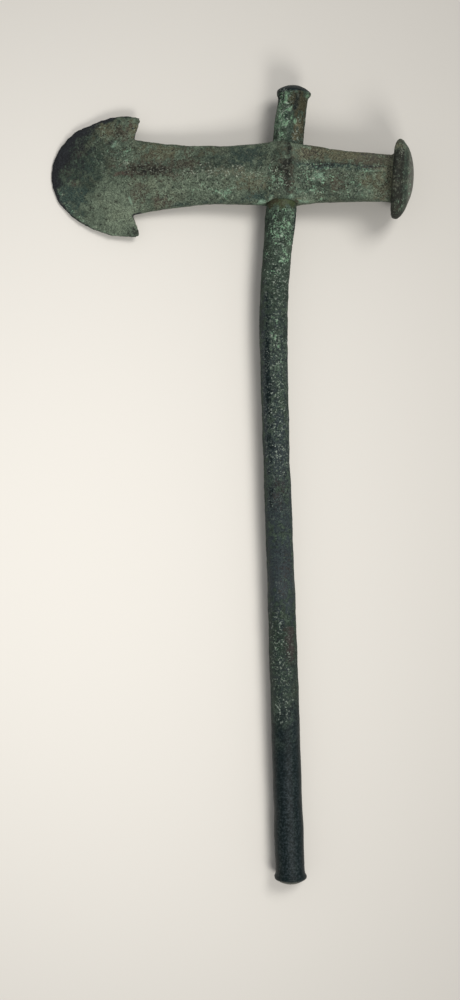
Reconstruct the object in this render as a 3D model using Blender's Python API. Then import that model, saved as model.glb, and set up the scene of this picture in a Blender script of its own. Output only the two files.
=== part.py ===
"""Copper axe: a cast head with a barbed round blade and a mushroom butt, on a bent rod of a handle.

It is drawn flat, with the blade towards -X, the butt towards +X, the long end of the handle towards -Y
and its thickness along Z, around the point where the axes of head and handle cross. Then it is laid down
on the three places that a loose axe of this shape lies on. All sizes are in metres.
"""

from math import asin, cos, pi, radians, sin

import bmesh
import bpy
from mathutils import Matrix, Vector
from mathutils.geometry import intersect_point_tri

# Shaft hole, with a swelling of the head round it
FIT_GAP = 0.0003
SOCKET_WALL = 0.0047
MOUTH_WALL = 0.0027
MOUTH_ROUNDING = 0.0032
SOCKET_SPREAD = 0.018
SOCKET_HALF_HEIGHT = 0.0185
BORE_OVERRUN = 0.018

# Handle, measured along it from where it crosses the head. It thins below the head and bends once.
STUB_LENGTH = 0.0480
GRIP_LENGTH = 0.4233
SOCKET_RADIUS = 0.0090
GRIP_RADIUS = 0.0083
THIN_RADIUS = 0.0078
FOOT_RADIUS = 0.0084
THICK_BELOW_HEAD = 0.0035
THINNING_LENGTH = 0.0240
THIN_AT = 0.165
FOOT_START = 0.260
UPPER_LEAN = radians(5.6)
LOWER_LEAN = radians(-1.9)
BEND_BELOW_HEAD = 0.0255
BEND_LENGTH = 0.077

THICK_END = SOCKET_HALF_HEIGHT + THICK_BELOW_HEAD
GRIP_START = THICK_END + THINNING_LENGTH
BEND_START = SOCKET_HALF_HEIGHT + BEND_BELOW_HEAD

# Hammered ends of the handle
STUB_RIM_RADIUS = 0.0103
FOOT_RIM_RADIUS = 0.0094
FLARE_LENGTH = 0.0045
RIM_THICKNESS = 0.0008
DOME_HEIGHT = 0.0042

# Neck, from the shaft hole to the notches behind the barbs
NECK_LENGTH = 0.0918
NOTCH_HALF_HEIGHT = 0.0224
NOTCH_HALF_THICKNESS = 0.0060
NOTCH_SIDE_HALF_THICKNESS = 0.0028
WAIST_AT = 0.042
WAIST_HALF_HEIGHT = 0.0170
WAIST_HALF_THICKNESS = 0.0105
WAIST_SIDE_HALF_THICKNESS = 0.0040
SIDE_ROUNDING = 0.0018
RIDGE_ROUNDING = 0.0030
RIDGE_SHIFT_AT_SOCKET = 0.0015

# Blade, whose outline is a superellipse that is a little fuller above than below
BLADE_ROOT = 0.0067
BLADE_DEPTH = 0.0446
BLADE_UPPER_WIDTH = 0.0368
BLADE_LOWER_WIDTH = 0.0359
UPPER_FULLNESS = 2.05
LOWER_FULLNESS = 1.80
BARB_REACH = 0.0102
BARB_CURL = 0.030
EDGE_HALF_THICKNESS = 0.0005

# Butt and its disc, along an axis of their own that droops towards the handle's long end
BUTT_DROOP = radians(3.3)
BUTT_LENGTH = 0.0649
BUTT_HALF_HEIGHT = 0.0136
BUTT_HALF_THICKNESS = 0.0120
BUTT_SIDE_HALF_THICKNESS = 0.0048
BUTT_FILLET = 0.0014
RIDGE_SHIFT_AT_DISC = 0.0035
DISC_RADIUS = 0.0238
DISC_RIM_THICKNESS = 0.0046
DISC_RIM_ROUNDING = 0.0019
DISC_DOME_HEIGHT = 0.0075

# Depth of the small flats that the axe lies on, and how many handles wide the block is that cuts them
REST_FLAT_DEPTH = 0.0002
FLOOR_WIDTH_SHARE = 4

# Shape of the curves along the head: 1 is straight, and more starts flatter
NOTCH_FLARE = 1.7
SOCKET_FLARE = 1.3
BUTT_FLARE = 1.9
BLADE_SWELL = 1.6
RIDGE_FADE = 0.45
DOME_FULLNESS = 2.4

# Colours, as linear red, green and blue
DARK_PATINA = (0.030, 0.040, 0.033)
GREEN_PATINA = (0.090, 0.112, 0.076)

# Fineness
ROD_SIDES = 24
DISC_SIDES = 48
BORE_SIDES = 40
CURVE_STEPS = 5
FACET_STEPS = 10
CORNER_STEPS = 3
NECK_STEPS = 7
SOCKET_STEPS = 10
BUTT_STEPS = 6
BLADE_STEPS = 8
SHARP_ANGLE = radians(32)
MERGE_DISTANCE = 1e-6


def ease(share):
    """Rises smoothly from 0 to 1 as share does, and stays there past both ends."""
    share = min(max(share, 0.0), 1.0)
    return share * share * (3 - 2 * share)


def between(start, end, share):
    return start + (end - start) * share


def spread(start, end, steps):
    """Places from start to end, both included."""
    return [between(start, end, i / steps) for i in range(steps + 1)]


def dome(radius, height):
    """(height, radius) points over a dome, from its rim to its top."""
    return [(height * (1 - i**DOME_FULLNESS), radius * i) for i in spread(1, 0, 2 * CURVE_STEPS)]


def copper(name, colour, roughness, metallic):
    """Copper under the patina of its piece."""
    material = bpy.data.materials.new(name)
    material.use_nodes = True
    shader = material.node_tree.nodes["Principled BSDF"]
    shader.inputs["Base Color"].default_value = (*colour, 1)
    shader.inputs["Roughness"].default_value = roughness
    shader.inputs["Metallic"].default_value = metallic
    return material


def loft(rings):
    """Extrudes a face through rings of equally many points, and returns the body and its last face."""
    body = bmesh.new()
    start = end = body.faces.new([body.verts.new(point) for point in rings[0]])
    for ring in rings[1:]:
        left = end
        grown = bmesh.ops.extrude_face_region(body, geom=[left])["geom"]
        end = next(item for item in grown if isinstance(item, bmesh.types.BMFace))
        for corner, point in zip(end.verts, ring):
            corner.co = point
        if left is not start:
            bmesh.ops.delete(body, geom=[left], context="FACES_ONLY")
    return body, end


def add_object(name, body, parent):
    bmesh.ops.recalc_face_normals(body, faces=body.faces)
    mesh = bpy.data.meshes.new(name)
    body.to_mesh(mesh)
    body.free()
    mesh.shade_smooth()
    mesh.set_sharp_from_angle(angle=SHARP_ANGLE)
    item = bpy.data.objects.new(name, mesh)
    item.parent = parent
    bpy.context.collection.objects.link(item)
    return item


def combine(item, tool, operation):
    """Joins a helper to the item or cuts it away. The helper isn't a piece of the axe."""
    tool.hide_render = True
    tool.display_type = "WIRE"
    step = item.modifiers.new(tool.name, "BOOLEAN")
    step.operation = operation
    step.solver = "EXACT"
    step.object = tool


# Handle


def handle_axis(along):
    """Centre and lean of the handle at a distance below the head's axis, negative above it."""
    bent = min(max(along - BEND_START, 0.0), BEND_LENGTH)
    turn = (UPPER_LEAN - LOWER_LEAN) / BEND_LENGTH
    lean = UPPER_LEAN - turn * bent
    centre = Vector((-sin(UPPER_LEAN), -cos(UPPER_LEAN), 0)) * min(along, BEND_START)
    centre += Vector((cos(UPPER_LEAN) - cos(lean), sin(lean) - sin(UPPER_LEAN), 0)) / turn
    centre += Vector((-sin(lean), -cos(lean), 0)) * max(along - BEND_START - BEND_LENGTH, 0.0)
    return centre, lean


def rod_radius(along):
    """The rod is thickest in the head, thins below it, and thickens again towards its foot."""
    if along < GRIP_START:
        return between(SOCKET_RADIUS, GRIP_RADIUS, ease((along - THICK_END) / THINNING_LENGTH))
    if along < THIN_AT:
        return between(GRIP_RADIUS, THIN_RADIUS, ease((along - GRIP_START) / (THIN_AT - GRIP_START)))
    return between(THIN_RADIUS, FOOT_RADIUS, ease((along - THIN_AT) / (FOOT_START - THIN_AT)))


def hammered_end(rim_at, outward, rod, rim):
    """(place along the handle, radius) points from the rod out to its rim, and in again over the dome."""
    points = [(-FLARE_LENGTH * (1 - i), between(rod, rim, i * i)) for i in spread(0, 1, CURVE_STEPS)]
    points += [(RIM_THICKNESS + height, radius) for height, radius in dome(rim, DOME_HEIGHT)[:-1]]
    return [(rim_at + outward * height, radius) for height, radius in points]


def rod_ring(along, radius):
    centre, lean = handle_axis(along)
    across = Vector((cos(lean), -sin(lean), 0))
    angles = spread(0, 2 * pi, ROD_SIDES)[:-1]
    return [centre + radius * (cos(angle) * across + Vector((0, 0, sin(angle)))) for angle in angles]


def handle_body():
    stub = hammered_end(-STUB_LENGTH, -1, SOCKET_RADIUS, STUB_RIM_RADIUS)
    foot = hammered_end(GRIP_LENGTH, 1, FOOT_RADIUS, FOOT_RIM_RADIUS)
    places = spread(THICK_END, GRIP_START, CURVE_STEPS)
    places += spread(BEND_START, BEND_START + BEND_LENGTH, 2 * CURVE_STEPS)
    places += spread(THIN_AT, FOOT_START, CURVE_STEPS)
    rod = [(along, rod_radius(along)) for along in sorted(set(places))]
    return loft([rod_ring(along, radius) for along, radius in stub[::-1] + rod + foot])[0]


def bore_body():
    """The shaft hole: a straight round hole along the upper part of the handle."""
    body = bmesh.new()
    bmesh.ops.create_cone(
        body,
        cap_ends=True,
        segments=BORE_SIDES,
        radius1=SOCKET_RADIUS + FIT_GAP,
        radius2=SOCKET_RADIUS + FIT_GAP,
        depth=2 * (SOCKET_HALF_HEIGHT + BORE_OVERRUN),
        matrix=Matrix.Rotation(-UPPER_LEAN, 4, "Z") @ Matrix.Rotation(pi / 2, 4, "X"),
    )
    return body


# Head


def swelling(station):
    """How far a place along the head belongs to the swelling round the shaft hole, from 0 to 1."""
    return cos(pi / 2 * min(abs(station) / SOCKET_SPREAD, 1.0)) ** 2


def head_sizes(station):
    """Half-height, half-thickness, half-thickness at the sides and ridge shift of the head.

    The station is the distance from the handle's axis, negative towards the blade.
    """
    if station > 0:
        share = min(station / BUTT_LENGTH, 1.0)
        height = between(BUTT_HALF_HEIGHT, SOCKET_HALF_HEIGHT, (1 - share) ** BUTT_FLARE)
        thickness = between(WAIST_HALF_THICKNESS, BUTT_HALF_THICKNESS, share)
        side = between(WAIST_SIDE_HALF_THICKNESS, BUTT_SIDE_HALF_THICKNESS, share)
        shift = between(RIDGE_SHIFT_AT_SOCKET, RIDGE_SHIFT_AT_DISC, share)
    else:
        to_socket = max(1 + station / WAIST_AT, 0.0)
        to_notch = max((-WAIST_AT - station) / (NECK_LENGTH - WAIST_AT), 0.0)
        height = between(WAIST_HALF_HEIGHT, SOCKET_HALF_HEIGHT, to_socket**SOCKET_FLARE)
        height += (NOTCH_HALF_HEIGHT - WAIST_HALF_HEIGHT) * to_notch**NOTCH_FLARE
        thickness = between(WAIST_HALF_THICKNESS, NOTCH_HALF_THICKNESS, to_notch)
        side = between(WAIST_SIDE_HALF_THICKNESS, NOTCH_SIDE_HALF_THICKNESS, to_notch)
        shift = RIDGE_SHIFT_AT_SOCKET * (1 + station / NECK_LENGTH)
    bore = SOCKET_RADIUS + FIT_GAP
    thickness = between(thickness, bore + SOCKET_WALL, swelling(station))
    side = between(side, bore + MOUTH_WALL, swelling(station))
    return height, thickness, side, shift


def soft_corner(before, corner, after, setback):
    """A corner rounded off between two points that lie a setback away from it."""
    start = corner + (before - corner).normalized() * setback
    end = corner + (after - corner).normalized() * setback
    return [start.lerp(corner, i).lerp(corner.lerp(end, i), i) for i in spread(0, 1, CORNER_STEPS)]


def half_section(station, growth=0.0):
    """(y, z) points over one face of the head, from its lower side to its upper one."""
    height, thickness, side, shift = head_sizes(station)
    rounding = between(SIDE_ROUNDING, MOUTH_ROUNDING, swelling(station))
    height, thickness, side = height + growth, thickness + growth, side + growth
    lower, ridge, upper = Vector((-height, side)), Vector((shift, thickness)), Vector((height, side))
    low = soft_corner(Vector((-height, 0)), lower, ridge, rounding)
    top = soft_corner(lower, ridge, upper, RIDGE_ROUNDING)
    high = soft_corner(ridge, upper, Vector((height, 0)), rounding)
    steps = spread(0, 1, FACET_STEPS)[1:-1]
    lower_facet = [low[-1].lerp(top[0], step) for step in steps]
    upper_facet = [top[-1].lerp(high[0], step) for step in steps]
    return low + lower_facet + top + upper_facet + high


def whole_ring(points):
    """A closed ring from the points over one face, with the other face as its mirror image."""
    return points + [Vector((point.x, point.y, -point.z)) for point in reversed(points)]


def body_ring(station, growth=0.0):
    """Section of neck, socket or butt."""
    droop = BUTT_DROOP if station > 0 else 0.0
    lean = BUTT_DROOP * ease(station / SOCKET_SPREAD)
    centre = station * Vector((cos(droop), -sin(droop), 0))
    across = Vector((sin(lean), cos(lean), 0))
    return whole_ring([centre + y * across + Vector((0, 0, z)) for y, z in half_section(station, growth)])


def cutting_edge(side):
    """Point of the blade's outline: the lower tip at -1, the foremost point at 0, the upper tip at 1."""
    angle = side * (pi / 2 + asin(min(BARB_REACH / BARB_CURL, 1.0)))
    width, fullness = -BLADE_LOWER_WIDTH, LOWER_FULLNESS
    if side > 0:
        width, fullness = BLADE_UPPER_WIDTH, UPPER_FULLNESS
    forward, outward = cos(angle), abs(sin(angle))
    depth = BLADE_DEPTH * forward ** (2 / fullness) if forward > 0 else BARB_CURL * forward
    return Vector((-NECK_LENGTH - BLADE_ROOT - depth, width * outward ** (2 / fullness), 0))


def blade_ring(share):
    """Section of the blade, which fans out from the neck at 0 to the cutting edge at 1."""
    neck = half_section(-NECK_LENGTH)
    thinning = share**BLADE_SWELL
    points = []
    for i, (y, z) in enumerate(neck):
        side = between(-1, 1, i / (len(neck) - 1))
        lens = between(NOTCH_SIDE_HALF_THICKNESS, NOTCH_HALF_THICKNESS, cos(pi / 2 * side))
        full = between(z, min(z, lens), ease(share / RIDGE_FADE))
        edge = EDGE_HALF_THICKNESS * min(z / NOTCH_SIDE_HALF_THICKNESS, 1.0)
        place = Vector((-NECK_LENGTH, y, 0)).lerp(cutting_edge(side), share)
        points.append(place + Vector((0, 0, between(full, edge, thinning))))
    return whole_ring(points)


def head_body():
    stations = spread(-NECK_LENGTH, -SOCKET_SPREAD, NECK_STEPS)[:-1]
    stations += spread(-SOCKET_SPREAD, SOCKET_SPREAD, SOCKET_STEPS)[:-1]
    stations += spread(SOCKET_SPREAD, BUTT_LENGTH - BUTT_FILLET, BUTT_STEPS)[:-1]
    lengthways = [(station, 0.0) for station in stations]
    for angle in spread(0, pi / 2, CORNER_STEPS)[:-1]:
        lengthways.append((BUTT_LENGTH - BUTT_FILLET * (1 - sin(angle)), BUTT_FILLET * (1 - cos(angle))))
    lengthways.append((BUTT_LENGTH + DISC_RIM_THICKNESS / 2, BUTT_FILLET))
    rings = [body_ring(station, growth) for station, growth in reversed(lengthways)]
    rings += [blade_ring(share) for share in spread(0, 1, BLADE_STEPS)[1:]]
    body, end = loft(rings)
    edge = list(end.verts)
    bmesh.ops.delete(body, geom=[end], context="FACES_ONLY")
    for i in range(len(edge) // 2 - 1):
        body.faces.new((edge[i], edge[i + 1], edge[-i - 2], edge[-i - 1]))
    return body


def disc_body():
    """The disc is turned: a flat inner face, a rounded rim and a domed outer face."""
    inner, outer = BUTT_LENGTH, BUTT_LENGTH + DISC_RIM_THICKNESS
    rounding = min(DISC_RIM_ROUNDING, DISC_RIM_THICKNESS / 2)
    flat = DISC_RADIUS - rounding
    quarter = [(rounding * (1 - cos(i)), rounding * sin(i)) for i in spread(0, pi / 2, CORNER_STEPS)]
    profile = [(inner, 0.0)]
    profile += [(inner + inwards, flat + outwards) for inwards, outwards in quarter]
    profile += [(outer - inwards, flat + outwards) for inwards, outwards in reversed(quarter)]
    profile += [(outer + height, radius) for height, radius in dome(flat, DISC_DOME_HEIGHT)[1:]]
    body = bmesh.new()
    corners = [body.verts.new((along, 0, radius)) for along, radius in profile]
    sides = [body.edges.new(pair) for pair in zip(corners, corners[1:])]
    bmesh.ops.spin(
        body,
        geom=corners + sides,
        cent=(0, 0, 0),
        axis=(1, 0, 0),
        angle=2 * pi,
        steps=DISC_SIDES,
        use_merge=True,
    )
    bmesh.ops.remove_doubles(body, verts=body.verts, dist=MERGE_DISTANCE)
    return body


# Lying down


def placed_body(item):
    """The item as it stands in the world, in triangles."""
    body = bmesh.new()
    body.from_object(item, bpy.context.evaluated_depsgraph_get())
    body.transform(item.matrix_world)
    bmesh.ops.triangulate(body, faces=body.faces)
    return body


def balance_point(bodies):
    """Centre of mass of bodies of one metal."""
    moment, volume = Vector(), 0.0
    for face in (face for body in bodies for face in body.faces):
        a, b, c = (corner.co for corner in face.verts)
        wedge = a.dot(b.cross(c)) / 6
        moment += wedge * (a + b + c) / 4
        volume += wedge
    return moment / volume


def underside(items):
    """Outward normal and a point of the plane that the axe lies still on, with the least turn to it."""
    bodies = [placed_body(item) for item in items]
    balance = balance_point(bodies)
    hull = bmesh.new()
    for corner in (corner for body in bodies for corner in body.verts):
        hull.verts.new(corner.co)
    made = bmesh.ops.convex_hull(hull, input=hull.verts)["geom"]
    bearing = []
    for face in (item for item in made if isinstance(item, bmesh.types.BMFace)):
        points = [corner.co for corner in face.verts]
        normal = (points[1] - points[0]).cross(points[2] - points[0]).normalized()
        height = normal.dot(points[0] - balance)
        if height < 0:
            normal, height = -normal, -height
        if normal.z < 0 and intersect_point_tri(balance + height * normal, *points):
            bearing.append((normal.z, normal.copy(), points[0].copy()))
    return min(bearing, key=lambda found: found[0])[1:]


def floor_body(turn, point):
    """A block whose top is the plane under the axe, raised by the depth of the flats it lies on."""
    body = bmesh.new()
    width = FLOOR_WIDTH_SHARE * (GRIP_LENGTH + STUB_LENGTH)
    placed = Matrix.Translation(point) @ turn.inverted().to_matrix().to_4x4()
    placed @= Matrix.Translation((0, 0, REST_FLAT_DEPTH - width / 2))
    bmesh.ops.create_cube(body, size=width, matrix=placed)
    return body


def lay_down(items, holder):
    """Flattens the places that the axe lies on, and turns it over onto them round its holder."""
    bpy.context.view_layer.update()
    normal, point = underside(items)
    turn = normal.rotation_difference(Vector((0, 0, -1)))
    floor = add_object("floor", floor_body(turn, point), holder)
    for item in items:
        combine(item, floor, "DIFFERENCE")
    holder.matrix_world = turn.to_matrix().to_4x4()
    bpy.context.view_layer.update()
    bodies = [placed_body(item) for item in items]
    corners = [corner.co for body in bodies for corner in body.verts]
    low, high = ([pick(corner[i] for corner in corners) for i in range(3)] for pick in (min, max))
    middle = Vector(((low[0] + high[0]) / 2, (low[1] + high[1]) / 2, low[2]))
    holder.matrix_world = Matrix.Translation(-middle) @ turn.to_matrix().to_4x4()


def build_axe():
    for item in list(bpy.data.objects):
        bpy.data.objects.remove(item)
    holder = bpy.data.objects.new("axe", None)
    bpy.context.collection.objects.link(holder)

    handle = add_object("handle", handle_body(), holder)
    handle.data.materials.append(copper("dark_patina", colour=DARK_PATINA, roughness=0.5, metallic=0.4))

    head = add_object("axe_head", head_body(), holder)
    head.data.materials.append(copper("green_patina", colour=GREEN_PATINA, roughness=0.6, metallic=0.3))
    disc = add_object("disc", disc_body(), holder)
    disc.rotation_euler.z = -BUTT_DROOP
    combine(head, disc, "UNION")
    combine(head, add_object("shaft_hole", bore_body(), holder), "DIFFERENCE")

    lay_down((head, handle), holder)


build_axe()
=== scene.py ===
"""Looks of an ancient copper axe: worn and pitted metal under a green patina, lying on a pale floor."""

import logging
from abc import ABC, abstractmethod
from collections.abc import Mapping
from dataclasses import dataclass
from enum import Enum
from math import pi, radians
from typing import ClassVar

import bmesh
import bpy
import numpy as np
from mathutils import Matrix, Vector, noise


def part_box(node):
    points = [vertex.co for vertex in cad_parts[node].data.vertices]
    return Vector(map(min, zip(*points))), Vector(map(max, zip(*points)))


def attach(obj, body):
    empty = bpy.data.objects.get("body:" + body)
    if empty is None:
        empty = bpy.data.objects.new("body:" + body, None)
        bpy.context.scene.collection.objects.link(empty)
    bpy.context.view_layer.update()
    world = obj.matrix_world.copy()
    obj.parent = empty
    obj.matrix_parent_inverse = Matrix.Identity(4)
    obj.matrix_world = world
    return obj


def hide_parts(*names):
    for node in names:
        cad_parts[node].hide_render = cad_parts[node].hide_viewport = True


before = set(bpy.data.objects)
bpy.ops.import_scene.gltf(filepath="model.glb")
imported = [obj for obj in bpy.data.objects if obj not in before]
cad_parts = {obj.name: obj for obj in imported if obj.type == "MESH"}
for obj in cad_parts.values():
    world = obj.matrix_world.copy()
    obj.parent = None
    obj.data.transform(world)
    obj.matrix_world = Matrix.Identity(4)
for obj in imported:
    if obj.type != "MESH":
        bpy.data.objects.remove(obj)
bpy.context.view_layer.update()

LOG = logging.getLogger("copper_axe")
MM = 0.001
Colour = tuple[float, float, float]
Rows = tuple[tuple[float, ...], ...]


def seen_as(red: int, green: int, blue: int) -> Colour:
    """Turns a colour as a screen shows it, 0 to 255 each, into linear light."""
    parts = (part / 255 for part in (red, green, blue))
    return tuple(part / 12.92 if part < 0.04045 else ((part + 0.055) / 1.055) ** 2.4 for part in parts)


def ramp(low: float, high: float, values: np.ndarray) -> np.ndarray:
    """Rises smoothly from 0 at low to 1 at high, or falls where high is under low."""
    share = np.clip((values - low) / (high - low), 0.0, 1.0)
    return share * share * (3 - 2 * share)


def bell(values: np.ndarray) -> np.ndarray:
    """Is 1 at 0 and fades to nothing about two units away."""
    return np.exp(-values * values)


def put_in_scene(name: str, data: bpy.types.ID) -> bpy.types.Object:
    """Adds an object to the scene.

    Args:
        name: Name of the object.
        data: Its mesh, light or camera.

    Returns:
        The object.
    """
    item = bpy.data.objects.new(name, data)
    bpy.context.scene.collection.objects.link(item)
    return item


class Layer(Enum):
    """What lies on the metal. A surface keeps each layer's share as an attribute of this name."""

    # Lighter and darker ground: mostly the patina's own tone, in some places painted light and painted shade.
    LIGHT = "lighter_ground"
    SHADE = "darker_ground"
    TEAL = "teal_patina"
    OLIVE = "olive_patina"
    BROWN = "brown_oxide"
    RUST = "red_oxide"
    TAN = "tan_earth"
    PALE = "pale_green"
    # Rubbed grey metal; on the crown of the disc's dome also a painted highlight.
    GREY_AND_SHEEN = "rubbed_grey_and_sheen"
    UMBER = "dark_umber"
    DARK = "dark_metal"
    CRUST = "speckled_crust"
    GRAINS = "white_grains"
    SMOOTH = "smooth_skin"


@dataclass(frozen=True)
class Spot:
    """An ellipse on a surface, in millimetres, where something is strongest in the middle.

    Its place is along the piece and across it, or on the handle round it, in degrees from its top.
    """

    along: float
    across: float
    reach_along: float
    reach_across: float
    strength: float = 1.0
    tilt: float = 0.0

    def distance(self, along: np.ndarray, across: np.ndarray) -> np.ndarray:
        """Works out how far points lie from the middle.

        Args:
            along: Place of each point along the piece.
            across: Place of each point across it or round it.

        Returns:
            Each point's distance, which is 1 on the ellipse.
        """
        turn = radians(self.tilt)
        x = along - self.along
        y = across - self.across
        u = (x * np.cos(turn) + y * np.sin(turn)) / self.reach_along
        v = (y * np.cos(turn) - x * np.sin(turn)) / self.reach_across
        return np.hypot(u, v)


@dataclass(frozen=True)
class Pull(Spot):
    """A soft pull on the points near a place, in millimetres along x and y."""

    by_x: float = 0.0
    by_y: float = 0.0

    def offsets(self, along: np.ndarray, across: np.ndarray) -> np.ndarray:
        """Works out how far each point moves, in metres."""
        way = np.array((self.by_x, self.by_y, 0.0))
        return bell(self.distance(along, across))[:, None] * way * MM


class Skin:
    """A fine copy of a solid, whose points are moved by fields worked out over the whole of it."""

    def __init__(self, name: str, node: str, grain: float, smoothings: int) -> None:
        """Copies a solid as an even, fine mesh.

        Args:
            name: Name of the new piece.
            node: Name of the solid that it stands for.
            grain: Distance between the mesh's points.
            smoothings: Rounds of smoothing that take the solid's facets away.
        """
        rough = self._even_copy(node, grain)
        shape = bmesh.new()
        shape.from_mesh(rough)
        ways = {"use_axis_x": True, "use_axis_y": True, "use_axis_z": True}
        for _ in range(smoothings):
            bmesh.ops.smooth_vert(shape, verts=shape.verts, factor=0.5, **ways)
        self.mesh = bpy.data.meshes.new(name)
        shape.to_mesh(self.mesh)
        shape.free()
        bpy.data.meshes.remove(rough)
        self.piece = put_in_scene(name, self.mesh)
        self.mesh.shade_smooth()
        self.node = node
        self.read()

    @staticmethod
    def _even_copy(node: str, grain: float) -> bpy.types.Mesh:
        """Merges a solid's loose triangles and rebuilds them as even squares.

        Args:
            node: Name of the solid.
            grain: Side of the squares.

        Returns:
            The rebuilt mesh.
        """
        shape = bmesh.new()
        shape.from_mesh(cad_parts[node].data)
        bmesh.ops.remove_doubles(shape, verts=shape.verts, dist=0.001 * MM)
        merged = bpy.data.meshes.new(node + "_merged")
        shape.to_mesh(merged)
        shape.free()
        holder = put_in_scene(node + "_merged", merged)
        squares = holder.modifiers.new("squares", "REMESH")
        squares.mode = "VOXEL"
        squares.voxel_size = grain
        evaluated = holder.evaluated_get(bpy.context.evaluated_depsgraph_get())
        even = bpy.data.meshes.new_from_object(evaluated)
        bpy.data.objects.remove(holder)
        bpy.data.meshes.remove(merged)
        return even

    def read(self) -> None:
        """Reads the points and their normals afresh, after the points have moved."""
        points, normals = np.empty((2, len(self.mesh.vertices) * 3), np.float32)
        self.mesh.vertices.foreach_get("co", points)
        self.mesh.vertex_normals.foreach_get("vector", normals)
        self.points = points.reshape(-1, 3).astype(np.float64)
        self.normals = normals.reshape(-1, 3).astype(np.float64)
        self.upper = ramp(-0.25, 0.25, self.normals[:, 2])

    def move(self, offsets: np.ndarray) -> None:
        """Moves each point, but never below the floor, and reads the normals afresh.

        Args:
            offsets: How far each point moves, in metres.
        """
        moved = self.points + offsets
        moved[:, 2] = np.maximum(moved[:, 2], 0.0)
        self.mesh.vertices.foreach_set("co", moved.astype(np.float32).ravel())
        self.mesh.update()
        self.read()

    def push(self, heights: np.ndarray) -> None:
        """Moves each point out along its normal, or in where its height is negative."""
        self.move(self.normals * heights[:, None])

    def waves(self, size: float, seed: int, octaves: int = 1) -> np.ndarray:
        """Works out soft noise around 0, mostly between -0.5 and 0.5.

        Args:
            size: Distance between neighbouring swellings.
            seed: Which noise it is.
            octaves: Number of layers, each half the size of the one before.

        Returns:
            The noise at each point.
        """
        start = Vector((17.3 * seed, -9.1 * seed, 4.7 * seed))
        places = (Vector(point) + start for point in self.points / size)
        return np.array([noise.fractal(place, 1.0, 2.0, octaves) for place in places])

    def holes(self, size: float, seed: int, share: float) -> np.ndarray:
        """Works out scattered round hollows.

        Args:
            size: Distance between neighbouring middles.
            seed: Which scattering it is.
            share: Share of the middles that have a hollow.

        Returns:
            Depth at each point, from 0 to 1 in the middle of a hollow.
        """
        start = Vector((5.9 * seed, 13.7 * seed, -3.3 * seed))
        depths = []
        for point in self.points / size:
            distances, middles = noise.voronoi(Vector(point) + start)
            kept = noise.cell(middles[0] * 7.13) < share
            depths.append(max(0.0, 1 - distances[0] / 0.3) if kept else 0.0)
        return np.sqrt(np.array(depths))

    def keep(self, name: str, values: np.ndarray) -> None:
        """Keeps a number at each point under a name that the finish reads."""
        attribute = self.mesh.attributes.new(name, "FLOAT", "POINT")
        attribute.data.foreach_set("value", np.clip(values, -1.0, 1.0).astype(np.float32))

    def stand_in(self, slot: str) -> None:
        """Puts the piece in its solid's place, on the body that carries it.

        Args:
            slot: Name of the piece's material slot. It is not used.
        """
        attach(self.piece, "root")
        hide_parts(self.node)


class Value:
    """A number that varies over a surface: an output socket that Python's operators work on."""

    def __init__(self, graph: "Graph", socket: bpy.types.NodeSocket) -> None:
        """Wraps an output socket of a node in a graph."""
        self.graph = graph
        self.socket = socket

    def _math(self, operation: str, first: "Operand", second: "Operand") -> "Value":
        """Adds a Math node and returns its output."""
        return self.graph.add("ShaderNodeMath", {"operation": operation}, {0: first, 1: second})

    def __add__(self, other: "Operand") -> "Value":
        """Adds."""
        return self._math("ADD", self, other)

    def __radd__(self, other: "Operand") -> "Value":
        """Adds, with the other one first."""
        return self._math("ADD", other, self)

    def __sub__(self, other: "Operand") -> "Value":
        """Takes the other one away."""
        return self._math("SUBTRACT", self, other)

    def __rsub__(self, other: "Operand") -> "Value":
        """Takes this one away from the other."""
        return self._math("SUBTRACT", other, self)

    def __mul__(self, other: "Operand") -> "Value":
        """Multiplies."""
        return self._math("MULTIPLY", self, other)

    def __rmul__(self, other: "Operand") -> "Value":
        """Multiplies, with the other one first."""
        return self._math("MULTIPLY", other, self)

    def ramp(self, low: "Operand", high: "Operand") -> "Value":
        """Rises smoothly from 0 at low to 1 at high, or falls where high is under low."""
        settings = {"interpolation_type": "SMOOTHSTEP"}
        return self.graph.add("ShaderNodeMapRange", settings, {0: self, 1: low, 2: high, 3: 0.0, 4: 1.0})


Operand = Value | float | int | Colour


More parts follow.
